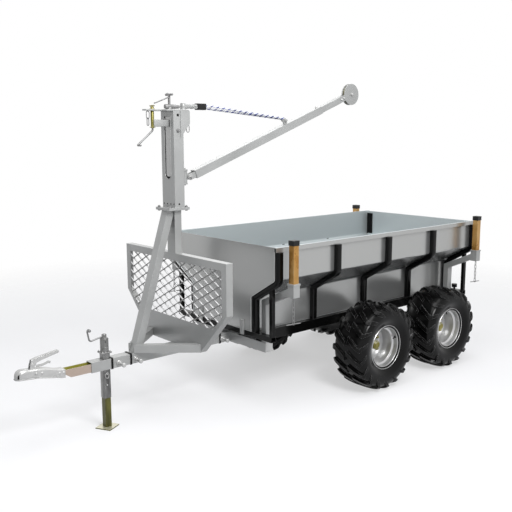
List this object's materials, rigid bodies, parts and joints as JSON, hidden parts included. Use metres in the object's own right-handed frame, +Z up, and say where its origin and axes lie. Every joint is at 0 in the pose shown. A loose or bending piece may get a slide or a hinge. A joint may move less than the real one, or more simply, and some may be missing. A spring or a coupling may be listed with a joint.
{
  "type": "timber trailer",
  "caption": "Two-axle utility trailer with a stepped sheet tub, side stakes, a mesh headboard, a mast with a slewing jib crane, a coupling and a drawbar jack.",
  "frame": {"origin": "on the ground, in the middle of the trailer's length and width", "axes": "+X forward to the coupling, +Y to the left side, +Z up"},
  "size_m": [3.475, 1.376, 2.0328],
  "materials": {
    "tub_sheet": "galvanised sheet, dull",
    "silver": "silver, satin",
    "black_paint": "gloss black",
    "yellow_zinc": "yellow zinc plating, satin",
    "stake_zinc": "orange zinc plating, satin",
    "zinc_bright": "bright zinc",
    "rim_silver": "silver, gloss",
    "tyre": "matt rubber",
    "black_plastic": "satin",
    "rope": "braided"
  },
  "bodies": {
    "chassis": {"axle_tube": "silver", "beam_clamps": "black_paint", "bogie_beam_left": "silver", "bogie_beam_right": "silver", "braces": "silver", "bunk_front": "silver", "bunk_rear": "silver", "coupling_head": "zinc_bright", "coupling_lever": "zinc_bright", "foot_bracket": "silver", "front_leg": "silver", "front_pin_bracket": "silver", "gate_guides": "black_paint", "headboard_frame": "silver", "headboard_mesh": "silver", "hold_downs": "silver", "jack_crank": "zinc_bright", "jack_outer": "zinc_bright", "main_beam": "silver", "mast_chains": "zinc_bright", "mast_column": "silver", "mast_foot": "silver", "mast_top_plate": "silver", "nose_channel": "yellow_zinc", "ribs_left": "black_paint", "ribs_right": "black_paint", "stake_caps": "black_plastic", "stake_chains": "zinc_bright", "stakes": "stake_zinc", "tub_floor": "tub_sheet", "tub_front_panel": "tub_sheet", "tub_rails": "black_paint", "tub_side_left": "tub_sheet", "tub_side_right": "tub_sheet", "tub_stand_front": "black_paint", "tub_stand_rear": "black_paint", "winding_crank": "black_paint"},
    "jack_leg": {"jack_leg": "yellow_zinc"},
    "slew": {"slew_knuckle": "silver", "top_swivel": "silver", "rope_block": "black_plastic", "stay_rope": "rope"},
    "boom": {"boom_tube": "silver"},
    "extension": {"boom_extension": "silver", "head_block": "silver"},
    "head_sheave": {"head_sheave": "yellow_zinc"},
    "tailgate": {"tailgate": "black_paint"},
    "wheel_front_left": {"tyre_front_left": "tyre", "rim_front_left": "rim_silver", "hub_front_left": "yellow_zinc"},
    "wheel_front_right": {"tyre_front_right": "tyre", "rim_front_right": "rim_silver", "hub_front_right": "yellow_zinc"},
    "wheel_rear_left": {"tyre_rear_left": "tyre", "rim_rear_left": "rim_silver", "hub_rear_left": "yellow_zinc"},
    "wheel_rear_right": {"tyre_rear_right": "tyre", "rim_rear_right": "rim_silver", "hub_rear_right": "yellow_zinc"}
  },
  "joints": [
    {"name": "wheel_front_left", "type": "hinge", "parent": "chassis", "child": "wheel_front_left", "pos_m": [-0.4975, 0.559, 0.29], "axis": [0, 1, 0], "continuous": true},
    {"name": "wheel_front_right", "type": "hinge", "parent": "chassis", "child": "wheel_front_right", "pos_m": [-0.4975, -0.559, 0.29], "axis": [0, 1, 0], "continuous": true},
    {"name": "wheel_rear_left", "type": "hinge", "parent": "chassis", "child": "wheel_rear_left", "pos_m": [-1.2175, 0.559, 0.29], "axis": [0, 1, 0], "continuous": true},
    {"name": "wheel_rear_right", "type": "hinge", "parent": "chassis", "child": "wheel_rear_right", "pos_m": [-1.2175, -0.559, 0.29], "axis": [0, 1, 0], "continuous": true},
    {"name": "jack_slide", "type": "slide", "parent": "chassis", "child": "jack_leg", "axis": [0, 0, 1], "range_m": [0, 0.11]},
    {"name": "slew", "type": "hinge", "parent": "chassis", "child": "slew", "pos_m": [0.6275, 0, 1.423], "axis": [0, 0, 1], "range_deg": [-95, 95]},
    {"name": "boom_lift", "type": "hinge", "parent": "slew", "child": "boom", "pos_m": [0.5945, 0, 1.423], "axis": [0, 1, 0], "range_deg": [-12, 0]},
    {"name": "boom_slide", "type": "slide", "parent": "boom", "child": "extension", "axis": [-0.9367, 0, 0.3502], "range_m": [0, 0.45]},
    {"name": "sheave_spin", "type": "hinge", "parent": "extension", "child": "head_sheave", "pos_m": [-0.83861, 0, 1.95882], "axis": [0, 1, 0], "continuous": true},
    {"name": "tailgate_lift", "type": "slide", "parent": "chassis", "child": "tailgate", "axis": [0, 0, 1], "range_m": [0, 0.56]}
  ]
}
